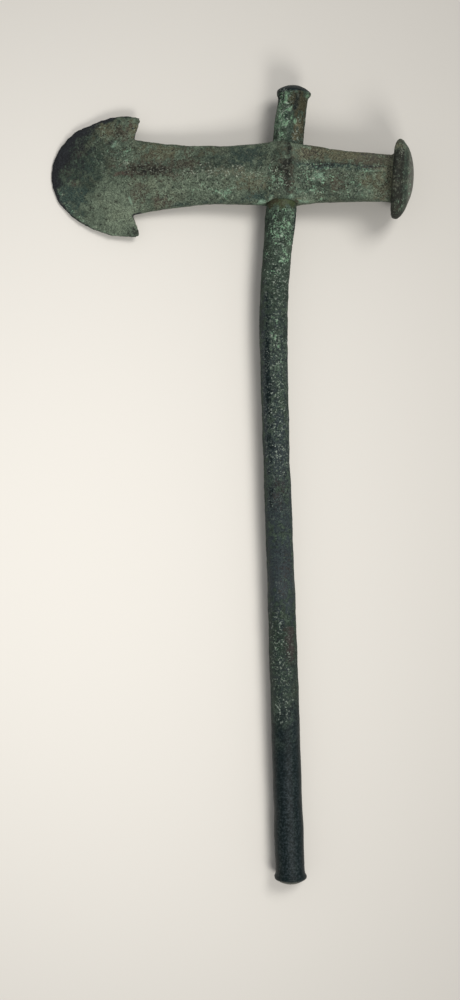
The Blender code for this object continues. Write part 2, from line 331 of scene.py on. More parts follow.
class Graph:
    """The node tree of one material."""

    def __init__(self, name: str) -> None:
        """Starts a material with a bare Principled shader.

        Args:
            name: Name of the material.
        """
        self.material = bpy.data.materials.new(name)
        self.material.use_nodes = True
        self.nodes = self.material.node_tree.nodes
        self.links = self.material.node_tree.links
        self.shader = self.nodes["Principled BSDF"]
        self.place = self.add("ShaderNodeTexCoord", {}, {}, "Object")

    def add(
        self,
        kind: str,
        settings: Mapping[str, object],
        inputs: Mapping[int | str, Operand],
        output: int | str = 0,
    ) -> Value:
        """Adds a node.

        Args:
            kind: Blender's name for the node's type.
            settings: Settings of the node, which are set first.
            inputs: A value or a link for each socket, by its number or name.
            output: Number or name of the output to return.

        Returns:
            The output.
        """
        node = self.nodes.new(kind)
        for name, setting in settings.items():
            setattr(node, name, setting)
        for key, value in inputs.items():
            if isinstance(value, Value):
                self.links.new(value.socket, node.inputs[key])
            else:
                node.inputs[key].default_value = value
        return Value(self, node.outputs[output])

    def noise(self, size: float, detail: float, roughness: float, distortion: float = 0.0) -> Value:
        """Adds noise from 0 to 1 over the surface.

        Args:
            size: Distance between neighbouring swellings.
            detail: Number of finer layers on it.
            roughness: How strong the finer layers are.
            distortion: How far it is twisted.

        Returns:
            The noise.
        """
        shape = {"Detail": detail, "Roughness": roughness, "Distortion": distortion}
        return self.add("ShaderNodeTexNoise", {}, {"Vector": self.place, "Scale": 1 / size, **shape}, "Fac")

    def cells(self, size: float) -> Value:
        """Adds the distance to the nearest of many scattered centres, as a share of the size between them."""
        return self.add("ShaderNodeTexVoronoi", {}, {"Vector": self.place, "Scale": 1 / size}, "Distance")

    def kept(self, name: str) -> Value:
        """Reads a number that the surface keeps under a name."""
        return self.add("ShaderNodeAttribute", {"attribute_name": name}, {}, "Fac")

    def mix(self, share: Operand, first: Operand, second: Operand) -> Value:
        """Mixes two colours.

        Args:
            share: Share of the second colour.
            first: Colour where the share is 0.
            second: Colour where the share is 1.

        Returns:
            The mixed colour.
        """
        colours = [part if isinstance(part, Value) else (*part, 1.0) for part in (first, second)]
        inputs = {0: share, 6: colours[0], 7: colours[1]}
        return self.add("ShaderNodeMix", {"data_type": "RGBA"}, inputs, 2)

    def feed(self, name: str, value: Operand) -> None:
        """Links a value to a socket of the shader, or sets a number on it.

        Args:
            name: Name of the socket.
            value: What it gets.
        """
        if isinstance(value, Value):
            self.links.new(value.socket, self.shader.inputs[name])
        else:
            self.shader.inputs[name].default_value = value


@dataclass(frozen=True)
class Patina:
    """Finish of weathered copper: a mottled ground, patches of other tones, a speckled crust, and pits."""

    name: str
    deep: Colour
    light: Colour
    crust: Colour
    sparkle: Colour
    gap: Colour
    tones: Mapping[Layer, Colour]
    drift_size: float = 10.0 * MM
    mottle_size: float = 4.0 * MM
    grain_size: float = 1.5 * MM
    fleck_size: float = 0.9 * MM
    dust_size: float = 0.6 * MM
    speck_size: float = 1.6 * MM
    thread_size: float = 2.4 * MM
    sparkle_size: float = 1.7 * MM
    pit_size: float = 2.3 * MM
    relief_depth: float = 0.34 * MM
    ground_roughness: float = 0.78
    smooth_roughness: float = 0.52
    gloss: float = 0.22
    drift: float = 0.25
    unrest: float = 1.1
    film: float = 0.10
    gap_strength: float = 0.8
    pit_strength: float = 0.65
    crumb_strength: float = 0.7
    sparkle_strength: float = 0.55
    thread_strength: float = 0.65
    crust_threshold: float = 0.75
    crust_spread: float = 0.21
    crust_edge: float = 0.06
    smooth_relief: float = 0.6

    def material(self) -> bpy.types.Material:
        """Builds the material.

        Returns:
            The material, which reads the layers and the relief kept on its surface.
        """
        graph = Graph(self.name)
        drifting = graph.noise(self.drift_size, detail=4.0, roughness=0.6)
        mottle = graph.noise(self.mottle_size, detail=4.0, roughness=0.6)
        grain = graph.noise(self.grain_size, detail=3.0, roughness=0.7)
        flecks = graph.noise(self.fleck_size, detail=2.0, roughness=0.6, distortion=0.4)
        dust = graph.noise(self.dust_size, detail=2.0, roughness=0.7)
        relief = graph.kept("relief")
        rough = 1 - graph.kept(Layer.SMOOTH.value)
        clumps = mottle.ramp(0.40, 0.60) * 0.7 + 0.55
        crust = graph.kept(Layer.CRUST.value) * clumps

        # The ground, lighter and darker
        ground = graph.kept("lightness") + (mottle - 0.5) * 0.6 + relief * 0.12
        colour = graph.mix(ground.ramp(-0.1, 1.1), self.deep, self.light)
        colour = graph.mix(drifting.ramp(0.48, 0.66) * rough * self.drift, colour, self.tones[Layer.OLIVE])

        # Patches with broken edges
        scatter = (grain * 0.35 + flecks * 0.3 + dust * 0.15 + mottle * 0.2).ramp(0.36, 0.64)
        for layer, paint in self.tones.items():
            broken = scatter * 0.5 + 0.2 if layer in (Layer.UMBER, Layer.DARK) else scatter
            share = (graph.kept(layer.value) * 1.2 - broken).ramp(-0.2, 0.5)
            colour = graph.mix(share, colour, paint)

        # Unrest of the colours, and a thin film on dark metal
        unrest = (mottle - 0.5) * 0.3 + (grain - 0.5) * 1.3 + (flecks - 0.5) * 1.8 + (dust - 0.5) * 3.0
        factor = 1 + unrest * ((rough * 0.3 + 0.7) * self.unrest) + relief * 0.12
        scaled = {"Vector": colour, "Scale": factor}
        colour = graph.add("ShaderNodeVectorMath", {"operation": "SCALE"}, scaled, "Vector")
        film = (grain * 0.55 + flecks * 0.3 + dust * 0.15).ramp(0.47, 0.58) * graph.kept(Layer.DARK.value)
        film = film * graph.kept("lightness").ramp(-0.1, 0.42)
        colour = graph.mix(film * self.film, colour, self.tones[Layer.TEAL])

        # Gaps between the grains, and pits
        gaps = flecks.ramp(0.47, 0.37) * (crust * 0.85 + 0.15) * rough
        pits = graph.cells(self.pit_size).ramp(0.30, 0.14) * mottle.ramp(0.42, 0.52) * rough
        colour = graph.mix(gaps * self.gap_strength, colour, self.gap)
        colour = graph.mix(pits * self.pit_strength, colour, self.tones[Layer.DARK])

        # Crust with its crumbs, white grains and threads
        specks = graph.noise(self.speck_size, detail=3.0, roughness=0.7, distortion=0.8)
        threshold = self.crust_threshold - self.crust_spread * crust
        crusted = specks.ramp(threshold, threshold + self.crust_edge)
        crumbs = flecks.ramp(threshold - 0.01, threshold + 0.05) * (crust * 0.8 + 0.2)
        colour = graph.mix(crusted * (0.45 + grain * 0.6), colour, self.crust)
        colour = graph.mix(crumbs * self.crumb_strength, colour, self.crust)
        grains = graph.kept(Layer.GRAINS.value) + crust * 0.5
        sparkles = graph.cells(self.sparkle_size).ramp(0.34, 0.18) * grain.ramp(0.48, 0.56) * grains
        colour = graph.mix(sparkles * self.sparkle_strength, colour, self.sparkle)
        worm = graph.noise(self.thread_size, detail=1.0, roughness=0.5, distortion=0.6) - 0.5
        threads = (worm * worm).ramp(0.0020, 0.0004) * grain.ramp(0.50, 0.58) * grains
        colour = graph.mix(threads * self.thread_strength, colour, self.sparkle)

        # What the shader gets
        graph.feed("Base Color", colour)
        roughness = self.smooth_roughness + (self.ground_roughness - self.smooth_roughness) * rough
        graph.feed("Roughness", roughness + (grain - 0.5) * 0.2)
        graph.feed("Specular IOR Level", self.gloss)
        share = rough * (1 - self.smooth_relief) + self.smooth_relief
        fine = (grain * 0.4 + flecks * 0.3 + dust * 0.25) * share
        height = fine + crusted * 0.25 - pits * 0.5 - gaps * 0.2
        bump = {"Strength": 1.0, "Distance": self.relief_depth, "Height": height}
        graph.feed("Normal", graph.add("ShaderNodeBump", {}, bump, "Normal"))
        return graph.material


@dataclass(frozen=True)
class Wear:
    """Relief all over a surface: wide dents, and lumps, grit and pits that are weaker where it is smooth."""

    seed: int
    dent_size: float
    dent_depth: float
    lump_size: float
    lump_depth: float
    pit_size: float
    pit_depth: float
    pit_share: float
    bare_grit: float
    crust_grit: float
    smoothed: float
    grit_size: float = 1.6 * MM
    grit_depth: float = 0.22 * MM

    def dents(self, skin: Skin) -> np.ndarray:
        """Works out the height of the dents at each point."""
        return skin.waves(self.dent_size, self.seed, 2) * self.dent_depth

    def fine(self, skin: Skin, crust: np.ndarray, smooth: np.ndarray) -> np.ndarray:
        """Works out the lumps, grit and pits.

        Args:
            skin: The surface.
            crust: Share of crust at each point, which makes it gritty.
            smooth: Share of smooth skin at each point.

        Returns:
            The height at each point.
        """
        rough = 1 - self.smoothed * smooth
        lumps = skin.waves(self.lump_size, self.seed + 1, 2) * self.lump_depth
        grit = skin.waves(self.grit_size, self.seed + 2, 2) * self.grit_depth
        pits = skin.holes(self.pit_size, self.seed + 3, self.pit_share) * self.pit_depth
        return (lumps + grit * (self.bare_grit + self.crust_grit * crust) - pits) * rough


@dataclass
class WornPiece(ABC):
    """What both pieces share: a skin over a solid that is fitted, covered with layers, worn and finished.

    Each row of the patches holds a spot's place and reach, along and across, then its strength and tilt.
    """

    name: str
    node: str
    slot: str
    smoothings: int
    wear: Wear
    finish: Patina
    pulls: tuple[Pull, ...]
    patch_seed: int
    breaking_size: float
    middling_size: float
    broad_size: float
    patches: ClassVar[Mapping[Layer, Rows]]
    patch_fade: tuple[float, float] = (1.7, 0.2)
    breaking_strength: float = 0.9
    grain: float = 0.60 * MM
    ground_lightness: float = 0.42
    relief_unit: float = 0.24 * MM

    def build(self) -> bpy.types.Object:
        """Shapes and dresses the piece.

        Returns:
            The finished piece.
        """
        self.skin = Skin(self.name, self.node, self.grain, self.smoothings)
        self.locate()
        self.reshape()
        self.locate()
        self.shares = {layer: np.zeros_like(self.along) for layer in Layer}
        self.stir()
        self.cover()
        self.relieve()
        for layer, share in self.shares.items():
            self.skin.keep(layer.value, share)
        ground = self.ground_lightness
        lighter = ground + ground * self.shares[Layer.LIGHT]
        self.skin.keep("lightness", lighter - ground * self.shares[Layer.SHADE])
        self.skin.mesh.materials.append(self.finish.material())
        self.skin.stand_in(self.slot)
        return self.skin.piece

    @abstractmethod
    def locate(self) -> None:
        """Works out where each point lies along the piece and across it or round it."""

    def reshape(self) -> None:
        """Pulls the outline into place."""
        self.skin.move(sum(pull.offsets(self.along, self.across) for pull in self.pulls))

    def stir(self) -> None:
        """Works out fine noise that breaks up patches, and wider noise that varies long stretches."""
        fine = self.skin.waves(self.breaking_size, self.patch_seed, 3)
        self.breaking = fine * self.breaking_strength
        self.broad = self.skin.waves(self.broad_size, self.patch_seed + 1, 2)
        self.middling = self.skin.waves(self.middling_size, self.patch_seed + 2, 2)

    @abstractmethod
    def cover(self) -> None:
        """Works out each layer's share at each point."""

    @abstractmethod
    def relieve(self) -> None:
        """Sculpts the surface."""

    def lay(self, layer: Layer, share: np.ndarray) -> None:
        """Adds a share to a layer where it is more than what lies there."""
        self.shares[layer] = np.maximum(self.shares[layer], share)

    def spread(self, seen: np.ndarray | float) -> None:
        """Lays the patches.

        Args:
            seen: Share of them that each point gets.
        """
        for layer, rows in self.patches.items():
            for spot in (Spot(*row) for row in rows):
                distance = spot.distance(self.along, self.across) + self.breaking
                self.lay(layer, spot.strength * ramp(*self.patch_fade, distance) * seen)

    def hollows(self, rows: Rows) -> np.ndarray:
        """Adds up hollows, each a spot as deep in millimetres as its strength says."""
        spots = (Spot(*row) for row in rows)
        return -sum(spot.strength * MM * bell(spot.distance(self.along, self.across)) for spot in spots)

    def fine_relief(self) -> np.ndarray:
        """Works out the lumps, grit and pits that the layers leave."""
        return self.wear.fine(self.skin, self.shares[Layer.CRUST], self.shares[Layer.SMOOTH])


@dataclass
class AxeHead(WornPiece):
    """The cast head: a barbed round blade, a ridged neck, the shaft hole's swelling and a mushroom butt.

    Places along the head are measured from the cutting edge, and places across it from its middle, upwards.
    All are in millimetres.
    """

    name: str = "weathered_head"
    node: str = "axe_head"
    slot: str = "head_copper"
    smoothings: int = 7
    wear: Wear = Wear(
        seed=1,
        dent_size=22 * MM,
        dent_depth=0.45 * MM,
        lump_size=5 * MM,
        lump_depth=0.20 * MM,
        pit_size=4.0 * MM,
        pit_depth=0.35 * MM,
        pit_share=0.5,
        bare_grit=0.35,
        crust_grit=0.9,
        smoothed=0.75,
    )
    finish: Patina = Patina(
        name="head_patina",
        deep=seen_as(38, 50, 42),
        light=seen_as(114, 126, 106),
        crust=seen_as(122, 154, 128),
        sparkle=seen_as(180, 186, 168),
        gap=seen_as(34, 45, 32),
        tones={
            Layer.TEAL: seen_as(50, 66, 60),
            Layer.OLIVE: seen_as(85, 84, 66),
            Layer.BROWN: seen_as(74, 71, 59),
            Layer.RUST: seen_as(74, 63, 55),
            Layer.TAN: seen_as(108, 108, 89),
            Layer.PALE: seen_as(128, 154, 132),
            # Grey of rubbed metal, also the colour of the painted highlight on the dome's crown.
            Layer.GREY_AND_SHEEN: seen_as(75, 75, 69),
            Layer.UMBER: seen_as(29, 31, 25),
            Layer.DARK: seen_as(31, 33, 36),
        },
    )
    pulls: tuple[Pull, ...] = (
        Pull(53, 36.5, 3.2, 2.6, by_x=1.4, by_y=0.8),
        Pull(53.5, 33.5, 3.5, 4, by_x=0.5),
        Pull(45.5, 38, 6, 5, by_y=0.85),
        Pull(52, -35, 4.5, 3, by_x=0.8, by_y=-1.9),
        Pull(52, -24, 3, 5, by_x=-1.2),
        Pull(25, 33, 6, 5, by_x=0.5, by_y=-0.6),
        Pull(0.5, 2, 4, 10, by_x=0.4),
        Pull(100, 17, 24, 5, by_y=0.45),
        Pull(161, 14, 8, 4, by_y=0.8),
        Pull(209, 18.5, 6, 4.5, by_x=1.1, by_y=-0.6),
        Pull(214, 12, 5, 5, by_x=0.6),
        Pull(213, -28, 4.5, 6, by_x=1.3),
    )
    patch_seed: int = 11
    breaking_size: float = 3.0 * MM
    middling_size: float = 8 * MM
    broad_size: float = 26 * MM
    patches: ClassVar[Mapping[Layer, Rows]] = {
        Layer.LIGHT: (
            (40, -14, 14, 15, 0.5), (44, -25, 12, 10, 0.8), (70, -7, 20, 7, 0.35), (132.6, 14, 5, 4, 0.5),
            # Painted light: (204, -5) lightens the butt's end in the disc's shadow; (155.4, -18.4) lightens
            # the lip's underside, partly its pale streak and partly painted light against the shade there.
            (126, -6, 6, 5, 0.4), (204, -5, 5, 16, 1), (199, -8, 7, 12, 0.5), (155.4, -18.4, 6.5, 2.6, 0.9),
            # (207.5, 13) lightens the disc's top: partly its own lighter tone, partly painted light against
            # the shade there.
            (207.5, 13, 4, 6, 0.8),
        ),
        Layer.SHADE: (
            (14, -12, 11, 12, 0.45), (19, 6, 18, 15, 1), (23, -3, 9, 8, 0.75), (33, 13, 13, 9, 0.75),
            (43, 25.5, 6, 4.5, 0.5, -35), (51, -33.6, 4.6, 3.4, 0.8), (100, 10.5, 15, 6, 0.45),
            (61, 3.2, 20, 4.6, 0.85), (47, 1.4, 8, 3, 0.85), (82, 4.6, 9, 3.6, 0.5), (104, 3.6, 24, 3, 0.75),
            (118, 10, 11, 4.5, 0.6), (139.8, 10.2, 5, 6, 0.85), (142.5, -5, 6, 10, 0.8),
            (142, 3, 7, 6.5, 0.95), (144.4, -6, 3.6, 9, 0.95), (130, -12, 12, 6, 0.45),
            (149.6, -18.2, 3.2, 1.8, 0.6), (168, -8, 24, 12, 0.4),
        ),
        Layer.TEAL: (
            (13, -12, 10, 12, 0.75), (20, 4, 11, 12, 0.5), (104, 11, 12, 5, 0.45), (78, -18.6, 9, 2.4, 0.7),
            (108, -18.6, 28, 2, 0.55), (120, 9, 14, 6.5, 0.62), (126.3, -15, 10, 3.6, 0.75),
            (169, 2.4, 20, 2.8, 0.9), (194, -0.2, 14, 1.6, 0.95, -3),
        ),
        Layer.OLIVE: (
            (36, 28, 13, 6, 0.7), (50.6, 28, 4, 7, 0.75), (66, 13, 16, 7, 0.7), (96, 13, 10, 3, 0.5),
            (140.6, 10.3, 4.2, 6, 0.5), (141, 1, 7, 14, 0.45), (122, -7, 11, 6, 0.6),
            (149.6, -18, 3.4, 2, 0.95), (161, 10, 13, 5, 1), (180, 8.5, 24, 5.5, 1), (191, -7, 5, 5, 0.7),
            (198.5, -5, 6, 8, 0.75), (201, -13, 7, 5.5, 0.7), (208, 12, 4, 7, 0.75),
        ),
        Layer.BROWN: (
            (43.2, 25.5, 5.5, 4.3, 0.85, -35), (38, 13, 3.5, 4, 0.45), (60, 10, 9, 5, 0.4),
            (84.3, 11, 4, 5.5, 0.6), (62, 3.2, 18, 5.4, 0.85), (47, 1.4, 8, 3, 0.6), (81, 5, 10, 4.4, 0.75),
            (54, -11.6, 6, 8, 0.6), (69, -16, 7, 4.5, 0.7), (82, -3, 10, 3, 0.4), (141.6, 9.5, 3, 4, 0.35),
            (142.4, 3, 5.5, 5.5, 0.8), (144.6, -7.5, 3.4, 8.5, 0.7), (135.4, -18.2, 3.6, 1.6, 0.9),
            (157, 9.5, 10, 4.2, 0.65), (194, 5, 13, 4.6, 0.85, -4), (172.8, -8.1, 6.5, 5.5, 0.7),
            (200, -7, 4, 7, 0.45),
        ),
        Layer.RUST: (
            (14.4, -3.8, 4.2, 2.8, 0.62), (17, 13.3, 5, 3.4, 0.55), (11, 8, 9, 13, 0.36),
            (49, 31.3, 1.6, 1.5, 0.6), (47.5, 1.5, 7, 2.4, 0.7), (69, -16.6, 5, 3, 0.4),
            (145, -10, 2, 4, 0.3), (201.5, -13, 5.5, 4.5, 0.45),
        ),
        Layer.TAN: (
            (108, 0.6, 18, 2.6, 0.45), (127.5, -6, 3.8, 3.2, 0.6), (117, -1.6, 9, 2.4, 0.5),
            # (204, -4) is painted light that lightens the butt's end in the disc's shadow.
            (187, 7.6, 6, 1.6, 0.45), (204, -4, 4.6, 16, 0.9),
        ),
        Layer.PALE: (
            (40.7, 18.7, 2.6, 2.4, 0.65), (49.2, -15.3, 0.9, 3.2, 0.58, 20), (106.5, -12.4, 5, 3, 0.4),
            (134.6, 13.7, 2.4, 3.4, 0.38), (147.8, 9.9, 2, 3, 0.4), (129, -18.4, 5, 1.5, 0.95, 8),
            (145.8, -15.5, 5.6, 1.1, 0.62, 16), (162.8, -3.9, 4.4, 2.6, 0.6), (151, -12.6, 4.4, 2.4, 0.35),
            (196, -1.9, 7, 0.9, 0.4), (189.4, -14, 5, 3, 0.42), (155.4, -18.9, 5.6, 2, 0.7),
            (210, -23.4, 1.4, 2, 0.45), (212.8, -12.6, 1.2, 1.8, 0.3), (207.8, -20.4, 1.3, 1.5, 0.75),
        ),
        Layer.GREY_AND_SHEEN: ((193, 8.6, 11, 2.6, 0.55),),
        Layer.UMBER: (
            (27.8, 26, 1.4, 1.1, 0.7), (24.6, -18.4, 1.6, 2.4, 0.7, -25), (34, -26, 1.3, 1, 0.72, 30),
            (34.2, -19.3, 1.4, 1, 0.66), (40.4, -15.3, 1.2, 1.1, 0.62), (29, -12, 1.5, 1, 0.6),
            (42.5, 25, 4.6, 3.4, 0.5, -35), (51.8, -33.6, 3.6, 3, 0.62), (60.5, 2.8, 14, 3.8, 0.68),
            (82, 4.8, 7, 3, 0.45), (144.6, 15, 1.3, 6, 0.7), (143, 4.4, 3.6, 2.8, 1),
            (141.2, 2, 5.4, 2.6, 0.9, 35), (138.4, 1.2, 2, 1.6, 0.9), (143.4, -5, 2.8, 8, 0.66),
            (206.8, 8, 1.4, 4, 0.4),
        ),
        Layer.DARK: (
            (13, 12, 11, 12, 0.55), (37.5, 20.5, 1.6, 1.3, 0.6), (31, 22, 1.4, 1.2, 0.5),
            (165, 2.4, 15, 2, 0.55), (193, 1.4, 12, 0.8, 0.62, -3),
        ),
        Layer.CRUST: (
            (34, 11, 12, 7.5, 0.55), (37, 24, 13, 8, 0.5), (47, 12, 8, 6, 0.75), (98, -8, 18, 7, 0.6),
            (106.5, -12.4, 6, 4, 0.9), (136, -4, 7, 8, 0.95), (159, -6, 14, 12, 0.92),
            (182, -9, 14, 10, 0.62), (194, -1.8, 11, 1.6, 0.9), (215.2, -8, 1.8, 12, 0.85),
            (210.2, -22, 2.4, 5, 0.85),
        ),
        Layer.GRAINS: (
            (62, 3.5, 15, 3.5, 0.45), (103, 0.9, 20, 3.4, 0.8), (139, -2.5, 4.5, 7.5, 0.75),
            (119, -2.6, 9, 3, 0.8), (200.1, -15, 3, 2, 1), (210, 7.4, 1.6, 3, 1),
        ),
        Layer.SMOOTH: ((192, 6.5, 14, 4.6, 0.6, -4),),
    }
    blade_end: float = 58.0
    dark_edge: Rows = (
        (-34, 1.2), (-17, 1.4), (-11, 2.4), (-8, 2.6), (-4.8, 4.2), (1.4, 4.8), (4.5, 5.4), (7.6, 7.5),
        (10.6, 11), (13.7, 15), (16.8, 17), (20, 15), (23, 12), (26, 12), (29.2, 10), (32.2, 9), (35.3, 13),
        (38, 12),
    )
    edge_wobble: float = 0.42 * MM
    nicks: Rows = (
        (20, 30.4, 1.6, 1.6, 0.7), (24.3, 32.4, 1.2, 1.2, 0.5), (46, 37.6, 1.5, 1.5, 0.6),
        (50.9, 36.8, 1.2, 1.2, 0.6), (20.6, -29.6, 1.7, 1.7, 0.7), (28.1, -32.8, 1.4, 1.4, 0.5),
        (53.5, -34, 1.2, 1.2, 0.3), (5, 14, 1.5, 1.5, 0.4),
    )
    fullness: float = 0.15 * MM
    lip_ends: tuple[float, float] = (131.8, 150.6)
    lip_across: tuple[float, float] = (-8.0, -17.0)
    lip_up: tuple[float, float] = (19.5, 26.5)
    lip_recess: float = 2.1 * MM
    seam_at: float = 143.3
    seam_reach: float = 1.0
    seam_depth: float = 0.65 * MM
    dark_hole: Spot = Spot(142.4, 3.4, 4.5, 4.5)
    upper_hollows: Rows = (
        (143.4, 3.6, 1.7, 2.4, 1.1), (140.4, 3, 1.2, 0.9, 0.6), (141.2, -2.6, 0.9, 1.3, 0.4),
        (138.3, 4.6, 1, 0.8, 0.4), (146, 5.6, 1, 0.7, 0.4), (124, 11.5, 13, 5, 0.6),
    )
    hollow_unit: float = 0.6 * MM
    disc_back: float = 5.2
    disc_middle: float = 24.0
    rim_at: float = 211.4
    rim_lean_across: float = 0.051
    rim_lean_up: float = -0.093
    groove_reach: float = 0.8
    groove_depth: float = 0.35 * MM

    def locate(self) -> None:
        """Works out where each point lies on the head, on its edge, and on its disc, which leans a little."""
        points = self.skin.points
        low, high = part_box("axe_head")
        self.along = (points[:, 0] - low.x) / MM
        self.across = (points[:, 1] - (low.y + high.y) / 2) / MM
        self.height = points[:, 2] / MM
        self.on_blade = ramp(self.blade_end, self.blade_end - 4, self.along)
        self.sideways = ramp(0.75, 0.30, np.abs(self.skin.normals[:, 2]))
        rows = np.round(self.across).astype(int)
        start = rows.min()
        front = np.full(rows.max() - start + 1, self.along.max())
        np.minimum.at(front, rows - start, self.along)
        self.inset = self.along - np.interp(self.across, np.arange(len(front)) + start, front)
        lean = self.rim_lean_across * self.across + self.rim_lean_up * (self.height - self.disc_middle)
        self.past_rim = self.along - (self.rim_at + lean)
        self.on_disc = ramp(-self.disc_back - 0.6, 0.6 - self.disc_back, self.past_rim)

    def reshape(self) -> None:
        """Pulls the outline into place and wears the front of the shaft hole's lower mouth back."""
        super().reshape()
        left, right = self.lip_ends
        beside = ramp(left - 2.5, left + 2.5, self.along) * ramp(right + 1.5, right - 1.5, self.along)
        near_mouth = ramp(*self.lip_across, self.across) * ramp(*self.lip_up, self.height)
        offsets = np.zeros_like(self.skin.points)
        offsets[:, 1] = self.lip_recess * beside * near_mouth
        self.skin.move(offsets)

    def cover(self) -> None:
        """Lays the patches on the side that faces up, quieter ones underneath, and whole stretches."""
        seen = np.maximum(self.skin.upper, self.on_disc)
        self.spread(seen)
        below = 1 - seen
        self.lay(Layer.OLIVE, below * 0.8 * ramp(0.05, 0.35, self.broad))
        self.lay(Layer.BROWN, below * 0.7 * ramp(-0.1, -0.4, self.broad))
        self.lay(Layer.CRUST, below * 0.5 * ramp(0.0, 0.3, self.middling))
        self.darken_cutting_edge()
        self.lay(Layer.CRUST, 0.22 * ramp(60, 75, self.along) * (1 - self.on_disc))
        self.cover_disc()
        facet = bell((self.along - 122) / 16) * ramp(2, 6, self.across) * ramp(160, 150, self.along)
        self.lay(Layer.SMOOTH, 0.45 * facet)
        hole = bell(self.dark_hole.distance(self.along, self.across)) * seen
        self.shares[Layer.CRUST] *= 1 - 0.9 * hole
        self.shares[Layer.GRAINS] *= 1 - 0.8 * hole

    def darken_cutting_edge(self) -> None:
        """Darkens and smooths the blade along its cutting edge, with crust behind it at the lower left."""
        across, width = np.array(self.dark_edge).T
        reach = np.interp(self.across, across, width) * (1 + 0.9 * self.middling + 0.3 * self.breaking)
        self.lay(Layer.DARK, self.on_blade * 0.90 * ramp(1.8, 0.1, self.inset / reach))
        self.lay(Layer.SHADE, self.on_blade * 0.90 * ramp(2.0, 0.6, self.inset / reach))
        # Dark on the blade's steep sides: partly dark patina, partly painted shade along the outline.
        self.lay(Layer.DARK, self.on_blade * 0.75 * self.sideways)
        lower_left = ramp(-3, -9, self.across) * bell((self.inset - 3.6) / 2.6)
        self.lay(Layer.CRUST, self.on_blade * 0.75 * lower_left * self.skin.upper)
        self.lay(Layer.SMOOTH, 0.5 * self.on_blade * ramp(16, 4, self.inset))
        self.lay(Layer.SMOOTH, 0.35 * self.on_blade * ramp(-2, -12, self.across) * ramp(16, 24, self.along))

    def cover_disc(self) -> None:
        """Darkens the disc, most of all its rim; the dome's crown is partly rubbed grey, partly a painted
        highlight.
        """
        crown = self.on_disc * ramp(3.2, 5.2, self.past_rim)
        # Darkens less near the top of the disc: partly its lighter top, partly painted light against the
        # shade there.
        below_top = 1 - 0.8 * bell((self.across - 15) / 6)
        rim = self.on_disc * ramp(1.8, -0.4, self.past_rim) * below_top
        self.lay(Layer.UMBER, self.on_disc * 0.50 * ramp(-0.1, 0.25, self.middling) - crown)
        self.lay(Layer.BROWN, 0.65 * rim)
        self.lay(Layer.UMBER, (0.74 + 0.30 * self.middling) * rim)
        self.lay(Layer.UMBER, self.on_disc * 0.80 * bell((self.past_rim - 0.4) / 1.4) * below_top)
        self.lay(Layer.SHADE, self.on_disc * 0.95 * below_top - crown)
        self.lay(Layer.CRUST, self.on_disc * 0.34 - crown)
        # Grey crown of the dome: partly rubbed metal, partly a painted highlight.
        self.lay(Layer.GREY_AND_SHEEN, crown * 0.75)
        self.lay(Layer.SMOOTH, 0.3 * self.on_disc + 0.6 * crown)

    def relieve(self) -> None:
        """Sculpts dents, lumps, crust, pits, nicks, the seam and its holes, and the groove round the dome."""
        fine = self.fine_relief()
        groove = -self.groove_depth * bell(self.past_rim / self.groove_reach)
        hollows = self.seam() + self.hollows(self.upper_hollows) * self.skin.upper + groove
        wobble = self.on_blade * self.skin.waves(6 * MM, 5, 4) * self.edge_wobble
        edge = (wobble + self.hollows(self.nicks)) * self.sideways
        thin = 0.4 + 0.6 * ramp(0.5, 6, self.inset)
        surface = (self.wear.dents(self.skin) + fine) * thin
        self.skin.push(surface + hollows + edge + self.fullness * (1 - self.on_blade))
        self.skin.keep("relief", fine / self.relief_unit + hollows / self.hollow_unit)

    def seam(self) -> np.ndarray:
        """Works out the crease down the swelling, where the casting's two halves meet.

        Returns:
            The height at each point, below 0 in the crease.
        """
        wander = self.skin.waves(7 * MM, 6, 3) * 2.4
        line = bell((self.along - self.seam_at - wander) / self.seam_reach)
        within = ramp(-19, -15, self.across) * ramp(22, 18, self.across)
        uneven = 0.75 + self.skin.waves(3 * MM, 7) * 1.2
        return -self.seam_depth * line * within * uneven * (0.4 + 0.6 * self.skin.upper)


